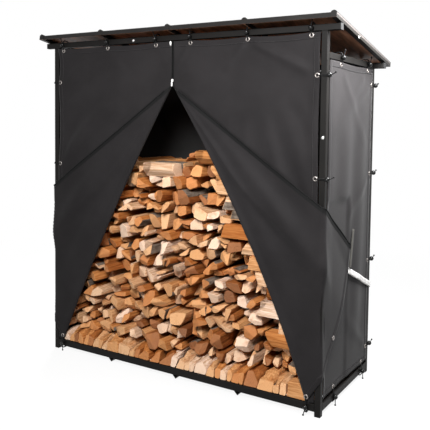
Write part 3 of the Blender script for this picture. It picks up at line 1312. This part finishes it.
def scatter(k, m, s):
    """Repeatable scatter between 0 and 1: the fraction of a large multiple of a sine.

    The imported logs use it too. k and m say which corner or log it is for, and s which of its values.
    """
    v = np.sin(np.radians(k * 127.1 + m * 311.7 + s * 74.7)) * 43758.5453
    return v - np.floor(v)


course = np.arange(LOG_ROWS + 2)
shown = CROSS_SHOW * (0.7 + 0.6 * scatter(course, 3, 3))
edge_x = opening_x(STACK_Z + (course + 0.5) * CELL_H, 1) - shown
first = np.maximum(np.round((edge_x + STACK_HW) / CELL_W), 0).astype(int)
cross_from = np.where((course == 1) | (course == 2), 2 * HALF_COLS, first + (first + course) % 2)
k, m = course[:, None], np.arange(HALF_COLS + 1)[None, :]
in_cross = (m >= cross_from[:, None]) & (m <= cross_from[:, None] + CROSS_LEN)
kept_level = in_cross | np.roll(in_cross, 1, axis=0) | (k == 0)
edge_col = (m == 0) | (m == HALF_COLS)
sway = np.where(edge_col, 0, VARY_X * (2 * scatter(k, m, 1) - 1) * CELL_W)
heave = np.where(kept_level, 0, VARY_Z * (2 * scatter(k, m, 2) - 1) * CELL_H)
net = stack(-STACK_HW + m * CELL_W + sway, STACK_Z + k * CELL_H + heave)
print("net of", net.shape[:2], "corners; crosswise logs from", cross_from.tolist())

# %% Cells that hold end-on logs
row, col = np.meshgrid(np.arange(LOG_ROWS + 1), np.arange(HALF_COLS // 2 + 1), indexing="ij")
start = 2 * col - row % 2
crossed = cross_from[row]
LONG_ROW, LONG_FROM, LONG_TO = LOG_ROWS - 1, 16, 22
free = (start + 1 < crossed) | (start + 1 > crossed + CROSS_LEN)
free &= ~((row == LONG_ROW) & (start >= LONG_FROM) & (start < LONG_TO))
used = (row < LOG_ROWS) | ((start > HALF_COLS // 2) & (start + 1 < crossed))
kept = free & used & (start < HALF_COLS)
row, start = row[kept], start[kept]
from_col, to_col = np.maximum(start, 0), np.minimum(start + 2, HALF_COLS)


def course_edge(k):
    """Three corners of each cell along net line k: first, middle and last."""
    a, b = net[k, from_col], net[k, to_col]
    inside = (to_col - from_col) == 2
    mid = np.where(inside[:, None], net[k, np.clip(start + 1, 0, HALF_COLS)], (a + b) / 2)
    return np.stack([a, mid, b], axis=1)


cells = np.concatenate([course_edge(row), course_edge(row + 1)[:, ::-1]], axis=1)
print("end-on cells:", len(cells))


# %% Outlines as the meeting of flat cuts
def cuts_of(cells, gap):
    """Middle of each cell, and the direction and distance of its sides seen from there."""
    middle = cells.mean(axis=1)
    run = np.roll(cells, -1, axis=1) - cells
    normal = np.stack([run[..., 1], -run[..., 0]], axis=-1)
    normal /= np.maximum(np.linalg.norm(normal, axis=-1, keepdims=True), 1e-9)
    away = ((cells - middle[:, None]) * normal).sum(axis=-1) - gap
    return middle, normal, away


def reach(normal, away, turn, sharp=90):
    """Distance to the nearest cut in each direction: a soft minimum of away / cos, per log."""
    cosine = normal[..., 0:1] * np.cos(turn)[:, None, :] + normal[..., 1:2] * np.sin(turn)[:, None, :]
    share = np.maximum(cosine, 1e-4) / np.maximum(away, 1e-4)[..., None]
    most = share.max(axis=1, keepdims=True)
    return 1 / (most * ((share / most) ** sharp).sum(axis=1, keepdims=True) ** (1 / sharp))[:, 0]


def with_cut(normal, away, angle, distance):
    """One more cut on every log, square to angle and at a distance from its middle."""
    extra = np.stack([np.cos(angle), np.sin(angle)], axis=-1)[:, None]
    return np.concatenate([normal, extra], axis=1), np.concatenate([away, distance[:, None]], axis=1)


def split(middle, normal, away, angle, gap):
    """The half of each log behind a line square to angle, which stays a gap away from the line."""
    u = np.stack([np.cos(angle), np.sin(angle)], axis=-1)
    half = reach(normal, away, (angle + np.pi)[:, None])[:, 0] * 0.45
    shift = -u * half[:, None]
    moved = away - (normal * shift[:, None]).sum(axis=-1)
    normal, moved = with_cut(normal, moved, angle, half - gap)
    return middle + shift, normal, moved


print("sides of a cell:", cells.shape[1])


# %% Split logs
def trimmed(normal, away, seed, number, whole=False):
    """Two more cuts on each log that take a corner off, at scattered angles. Whole logs keep their foot."""
    for turn_no in range(2):
        turn = scatter(number, seed, 21 + turn_no)
        angle = np.pi * np.where(whole, 0.2 + 0.6 * turn, 2 * turn)
        far = reach(normal, away, angle[:, None])[:, 0]
        share = np.where(whole, 0.25, 0.47) + 0.45 * scatter(number, seed, 31 + turn_no)
        normal, away = with_cut(normal, away, angle, far * share)
    return normal, away


LOG_GAP, SPLIT_GAP, FAR_OFF = 0.001, 0.003, 1.0
PARTED_SHARE = 0.45
middle, normal, away = cuts_of(cells, LOG_GAP)
number = np.arange(len(cells)) + 1
parted = scatter(number, 5, 9) < PARTED_SHARE
angle = np.where(row > 0, 2 * np.pi, 0.7) * (scatter(number, 7, 10) - 0.5)
one = ~parted
uncut = with_cut(normal[one], away[one], angle[one], np.full(one.sum(), FAR_OFF))
groups = [(middle[one], *uncut, number[one], np.flatnonzero(one))]
for turn_by, first_number in ((0, 500), (np.pi, 1000)):
    half = split(middle[parted], normal[parted], away[parted], angle[parted] + turn_by, SPLIT_GAP / 2)
    groups.append((*half, number[parted] + first_number, np.flatnonzero(parted)))
middle, normal, away, number, cell_of = (np.concatenate(parts) for parts in zip(*groups))
on_floor = row[cell_of] == 0
middle[on_floor, 1] -= LOG_GAP
normal, away = trimmed(normal, away, 11, number, on_floor)
print("end-on logs:", len(middle), "of which split in two:", 2 * int(parted.sum()))


# %% Ends of the logs
RING_SCALE = np.array([0.0, 0.55, 0.95, 1.0, 1.0, 1.0, 0.95, 0.0])
RING_ALONG = np.array([0, 0, 0, 0.004, 0.12, -0.004, 0, 0])
RING_PART = np.array([0, 0, 0, 0, 1, 2, 2, 2])
RINGS, TORN_RING = len(RING_SCALE), 1
END_TILT, WHOLE_TILT, TORN = 1.2, 0.12, 0.003
AXED_SHARE, AXED_LEAST, AXED_MORE = 0.65, 0.2, 0.55
NEAR_A_TURN = 6.3


def per_log(values):
    """One value a log, shaped so that it spreads over the log's rings and corners."""
    return values[:, None, None]


def end_relief(number, whole, u, v):
    """How far each corner of the near end lies behind the foremost: a tilted plane, and torn fibres.

    On a chopped end two planes meet at a crest, which is where the axe went in.
    """
    off_u, off_v = scatter(number, 2, 41) - 0.5, scatter(number, 2, 42) - 0.5
    tilt_u = per_log(END_TILT * np.where(whole, WHOLE_TILT, 1) * off_u)
    tilt_v = per_log(END_TILT * np.where(whole, abs(off_v), off_v))
    crest = per_log(NEAR_A_TURN * scatter(number, 2, 44))
    axed = (scatter(number, 2, 46) < AXED_SHARE) & ~whole
    steep = per_log(np.where(axed, AXED_LEAST + AXED_MORE * scatter(number, 2, 47), 0))
    askew = u * tilt_u + v * tilt_v + steep * abs(u * np.cos(crest) + v * np.sin(crest))
    behind = (askew - askew.min(axis=(1, 2), keepdims=True)) * (RING_PART == 0)[:, None]
    fibres = scatter(per_log(number), np.arange(u.shape[-1]) + 3, 43) - 0.5
    return behind + TORN * fibres * (np.arange(RINGS) == TORN_RING)[:, None]


print("rings of a log:", RINGS)

# %% Solid logs from outlines
LOG_SIDES = 34
PITH_OFF, GRAIN_STEP = 0.045, 0.37
BARK_SHARE, BARK_EDGE = 0.24, 0.25
KEPT = np.r_[0, LOG_SIDES:(RINGS - 1) * LOG_SIDES, RINGS * LOG_SIDES - 1]


def log_marks(number, turn, local):
    """What the wood finish reads: the log's tone, its grain, which corners are sawn and which have bark.

    The grain is the place in the log, seen from a pith that lies to one side. Bark covers the corners
    whose direction is within a fixed angle of the bark's.
    """
    n, size = local.shape[:2]
    pith_way = NEAR_A_TURN * scatter(number, 2, 51)
    pith = PITH_OFF * np.stack([np.cos(pith_way), np.sin(pith_way)], axis=-1)
    grain = local + np.concatenate([pith, number[:, None] * GRAIN_STEP], axis=1)[:, None]
    sawn = np.repeat((RING_PART != 1) & (RING_SCALE < 1), LOG_SIDES)[KEPT].astype(float)
    barked = np.cos(turn - NEAR_A_TURN * scatter(number, 2, 61)[:, None]) > BARK_EDGE
    barked = barked & (scatter(number, 2, 62) < BARK_SHARE)[:, None]
    bark = np.zeros((n, size))
    bark[:, 1:-1] = np.tile(barked, (1, RINGS - 2))
    return {"tone": np.repeat(scatter(number, 2, 71), size), "grain": grain.reshape(-1, 3),
            "end": np.tile(sawn, n), "bark": bark.ravel()}


def logs(middle, normal, away, number, near, length, axes, lean, whole):
    """Carries each outline along its log: a sawn or chopped end, a bevel, the long faces.

    axes gives the world directions of the outline's two axes and of the log's length. Lean moves the
    outline sideways along the log. Whole logs are trimmed at their near end only, and lean back there.
    """
    n = len(middle)
    turn = np.tile(np.linspace(0, 2 * np.pi, LOG_SIDES, endpoint=False), (n, 1))
    starts = {k: NEAR_A_TURN * scatter(number, 2, 40 + k)[:, None] for k in (3, 5, 8)}
    waves = sum(np.cos(k * turn + start) for k, start in starts.items()) / len(starts)
    outline = reach(normal, away, turn) * np.where(whole[:, None], 1, 0.965 + 0.035 * waves)
    beyond = np.where(whole[:, None], reach(normal[:, :-2], away[:, :-2], turn), outline)
    radius = np.where((RING_PART > 0)[:, None], beyond[:, None], outline[:, None]) * RING_SCALE[:, None]
    u, v = radius * np.cos(turn)[:, None], radius * np.sin(turn)[:, None]
    along = np.where(RING_PART == 1, length[:, None] * RING_ALONG, RING_ALONG)
    along = along + np.where(RING_PART == 2, length[:, None], 0)
    w = (near[:, None] + along)[:, :, None] + end_relief(number, whole, u, v)
    u = u + per_log(lean) * (w - per_log(near))
    local = stack(u, v, w).reshape(n, -1, 3)[:, KEPT]
    at = np.concatenate([middle, np.zeros((n, 1))], axis=1)
    points = (local + at[:, None]) @ np.array(axes, float)
    faces = [grid_faces(RINGS - 2, LOG_SIDES, flip=True, wrap=True) + 1, fan(1, 0, LOG_SIDES)]
    faces.append(fan(1 + (RINGS - 3) * LOG_SIDES, len(KEPT) - 1, LOG_SIDES, flip=True))
    return patch(points, repeated(faces, n, len(KEPT)), **log_marks(number, turn, local))


print("points of a log:", len(KEPT))

# %% [markdown]
# ## Split wood
# Fresh splits run from pinkish white to orange, and each log has its own tone. The sawn end shows
# rings round a pith that lies outside the wedge, the long faces show fibres, and some faces keep
# grey bark. All of it reads the log's own grain coordinates, so the rings cut through the solid.

# %% Wood finish
RING_PITCH = 0.0045
WOOD_TONES = [
    (0.0, (0.20, 0.068, 0.022, 1)),
    (0.09, (0.38, 0.134, 0.036, 1)),
    (0.25, (0.57, 0.222, 0.062, 1)),
    (0.42, (0.64, 0.305, 0.112, 1)),
    (0.60, (0.69, 0.39, 0.190, 1)),
    (0.78, (0.76, 0.50, 0.310, 1)),
    (1.0, (0.84, 0.66, 0.54, 1)),
]


def split_wood():
    """Each log's tone, darkened by fibres on the long faces and by rings on the sawn end, and bark."""
    finish = Finish("split_wood", (0.52, 0.28, 0.12, 1), 0.7, Specular_IOR_Level=0.12)
    tone, end, bark = finish.value("tone"), finish.value("end"), finish.value("bark")
    grain = finish.value("grain", "Vector")
    body = tone.node("ShaderNodeValToRGB", {"stops": WOOD_TONES}, {0: tone})
    fibres = grain.stretch(1, 1, 0.05).noise(150, 5, 0.65)
    patches = grain.stretch(1, 1, 0.25).noise(22, 4)
    far = grain.stretch(1, 1, 0).length() + grain.noise(30, 2) * 0.004
    rings = (far * (2 * np.pi / RING_PITCH)).math("SINE")
    long_face = body.multiplied(fibres.between(0.32, 0.72).blend((0.55, 0.42, 0.30, 1), (1, 1, 1, 1)))
    sawn = body.multiplied((rings * 0.5 + 0.5).blend((0.80, 0.71, 0.62, 1), (1, 1, 1, 1)))
    pale = (end * 0.08).blend(sawn, (0.80, 0.56, 0.38, 1))
    wood = end.between(0.2, 0.8).blend(long_face, pale)
    wood = (patches.between(0.55, 0.8) * 0.5).blend(wood, (0.42, 0.16, 0.045, 1))
    crust = grain.stretch(1, 1, 0.3).noise(60, 5, 0.7)
    skin = crust.between(0.3, 0.7).blend((0.055, 0.038, 0.028, 1), (0.23, 0.18, 0.14, 1))
    barked = bark.between(0.4, 0.7) * (1 - end.between(0.1, 0.6))
    finish.wire(Base_Color=barked.blend(wood, skin))
    finish.wire(Roughness=fibres * 0.3 + 0.55)
    finish.bump(fibres + crust * barked * 2.0 + rings * end * 0.15, 0.5, 0.0022)
    return finish


firewood = split_wood()
print("wood tones:", len(WOOD_TONES))

# %% Crosswise logs
ALONG_X, ALONG_Y = [(0, 1, 0), (0, 0, 1), (1, 0, 0)], [(1, 0, 0), (0, 0, 1), (0, 1, 0)]
CROSS_OUT, CROSS_GROW, CROSS_LEAN = 0.009, 0.002, 0.10


def across_the_stack(rows, x0, x1, foot, top, seed):
    """Logs along X, several deep, each in the box between x0, x1, foot and top of its course."""
    depth = LOG_LEN / CROSS_DEEP
    y0 = (FRONT_Y + LOG_FRONT + scatter(rows, seed, 4) * LOG_FRONT)[:, None] + np.arange(CROSS_DEEP) * depth
    z0, z1 = (np.broadcast_to(value[:, None], y0.shape) for value in (foot, top))
    sides = [stack(y, z).reshape(-1, 2) for y, z in ((y0, z0), (y0 + depth, z0), (y0 + depth, z1), (y0, z1))]
    number = 2000 + 131 * seed + np.arange(len(rows) * CROSS_DEEP)
    whole = np.repeat(rows == 0, CROSS_DEEP)
    middle, normal, away = cuts_of(np.stack(sides, axis=1), -CROSS_GROW)
    normal, away = trimmed(normal, away, 13, number, whole)
    x0, x1 = np.repeat(x0, CROSS_DEEP), np.repeat(x1, CROSS_DEEP)
    lean = CROSS_LEAN * (scatter(number, 2, 91) - 0.5)
    wood = logs(middle, normal, away, number, x0 - CROSS_OUT, x1 - x0 + CROSS_OUT, ALONG_X, lean, whole)
    wood["faces"] = [f[:, ::-1] for f in wood["faces"]]
    return wood


rows = np.flatnonzero((cross_from < HALF_COLS) & (course <= LOG_ROWS))
a = cross_from[rows]
b = np.minimum(a + CROSS_LEN, HALF_COLS)
x0 = np.maximum(net[rows, a, 0], net[rows + 1, a, 0])
x1 = np.minimum(net[rows, b, 0], net[rows + 1, b, 0])
foot = STACK_Z + rows * CELL_H
wood = across_the_stack(rows, x0, x1, foot, foot + CELL_H, 3)
build("split_cross_logs", [wood], [firewood], ["cross_logs"], flat_shaded=True)
span = net[LONG_ROW, LONG_FROM:LONG_TO + 1]
foot, top = span[:, 1].mean(keepdims=True) - 0.006, np.array([STACK_Z + LOG_ROWS * CELL_H])
long_logs = across_the_stack(np.array([LONG_ROW]), span[:1, 0], span[-1:, 0], foot, top, 13)

# %% End-on logs
SUNK_MOST, END_LEAN = 0.095, 0.22
MIDDLE_FROM, RIGHT_FROM = int(HALF_COLS * 0.36), int(HALF_COLS * 0.62)
cell_row, cell_from, cell_to = row[cell_of], from_col[cell_of], to_col[cell_of]
room = np.where(cell_row == 0, -LOG_FRONT / 2, LOG_SCATTER)
near = FRONT_Y + LOG_FRONT + scatter(cell_row, cell_from, 4) * room
sunk = np.where(on_floor, 0, SUNK_MOST * scatter(number, 2, 81) ** 1.6)
lean = END_LEAN * (scatter(number, 2, 91) - 0.5) * soft((STACK_HW - 0.09 - abs(middle[:, 0])) / 0.05)
length = LOG_LEN - LOG_BACK * scatter(cell_row, cell_to, 5) - sunk
near = near + sunk
first_cols = [-1, MIDDLE_FROM, RIGHT_FROM, HALF_COLS + 2]
here = start[cell_of] + 1
for i, node in enumerate(("left_logs", "middle_logs", "right_logs")):
    chosen = (here >= first_cols[i]) & (here < first_cols[i + 1])
    shape = [values[chosen] for values in (middle, normal, away, number, near, length)]
    wood = [logs(*shape, ALONG_Y, lean[chosen], on_floor[chosen])]
    if node == "middle_logs":
        wood.append(long_logs)
    build(f"split_{node}", wood, [firewood], [node], flat_shaded=True)

# %% [markdown]
# ## Studio
# A pale floor and a white surround, with three soft lamps at a plain level: one to the right, which
# lifts the side cover, one at the front right, and one behind for the back and the left side. Floor
# and surround are bright to the eye, also in a gloss, and dim to the rays that light the store, so
# the white costs no tone. Near the store the floor glows a little less, so that its shadow shows.


# %% Pale floor
def seen_by_eye(tree):
    """1 for rays that the eye sees directly, in a gloss or through glass, and 0 for those that light."""
    path = tree.nodes.new("ShaderNodeLightPath")
    kinds = [Wire(tree, path.outputs[f"Is {kind} Ray"]) for kind in ("Camera", "Glossy", "Transmission")]
    return sum(kinds[1:], kinds[0]).math("MINIMUM", 1.0)


FLOOR_HALF, FLOOR_SHADE = 14.0, 0.10
SHADE_FROM, SHADE_TO = 1.0, 4.0
PAPER_LIT, PAPER_SEEN = (0.20, 0.20, 0.20, 1), (0.85, 0.85, 0.85, 1)


def pale_floor():
    """Paper that glows white to the eye, a little less near the store, so that its shadow shows there."""
    material = bpy.data.materials.new("pale_floor")
    material.use_nodes = True
    tree = material.node_tree
    start, seen = Wire(tree), seen_by_eye(tree)
    far = start.node("ShaderNodeTexCoord", out="Object").length().between(SHADE_FROM, SHADE_TO)
    paper = tree.nodes["Principled BSDF"]
    paper.inputs["Roughness"].default_value = 0.7
    tree.links.new(seen.blend(PAPER_LIT, PAPER_SEEN).socket, paper.inputs["Base Color"])
    glow = start.node("ShaderNodeEmission", None, {"Color": (1, 1, 1, 1), "Strength": 1.0})
    share = seen * (1 - FLOOR_SHADE * (1 - far))
    mixed = start.node("ShaderNodeMixShader", None, {0: share, 1: Wire(tree, paper.outputs[0]), 2: glow})
    tree.links.new(mixed.socket, tree.nodes["Material Output"].inputs["Surface"])
    return material


floor_mesh = bpy.data.meshes.new("floor")
floor_corners = FLOOR_HALF * np.array([(-1, -1, 0), (1, -1, 0), (1, 1, 0), (-1, 1, 0)])
floor_mesh.from_pydata(floor_corners.tolist(), [], [(0, 1, 2, 3)])
floor_mesh.materials.append(pale_floor())
floor = bpy.data.objects.new("floor", floor_mesh)
bpy.context.collection.objects.link(floor)
print("floor of", 2 * FLOOR_HALF, "m")

# %% White surround
AMBIENT = 0.05
world = bpy.data.worlds.new("surround")
world.use_nodes = True
bpy.context.scene.world = world
seen = seen_by_eye(world.node_tree)
back = world.node_tree.nodes["Background"]
back.inputs["Color"].default_value = (1, 1, 1, 1)
world.node_tree.links.new((seen * (1 - AMBIENT) + AMBIENT).socket, back.inputs["Strength"])
print("surround lights at", AMBIENT)

# %% Lamps
STORE_MIDDLE = Vector((0, 0, 0.9))
LAMPS = {
    "right_lamp": ((1.32, -0.15, 2.15), 0.6, 92),
    "front_lamp": ((1.0, -2.45, 2.3), 0.8, 132),
    "back_lamp": ((-2.2, 2.3, 2.2), 1.2, 170),
}


def soft_lamp(name, place, size, power):
    """A square area lamp that looks at the middle of the store."""
    lamp = bpy.data.lights.new(name, "AREA")
    lamp.shape = "SQUARE"
    lamp.size = size
    lamp.energy = power
    stand = bpy.data.objects.new(name, lamp)
    stand.location = place
    stand.visible_camera = False
    stand.rotation_euler = (STORE_MIDDLE - stand.location).to_track_quat("-Z", "Y").to_euler()
    bpy.context.collection.objects.link(stand)


for name, (place, size, power) in LAMPS.items():
    soft_lamp(name, place, size, power)
print("lamps:", list(LAMPS))
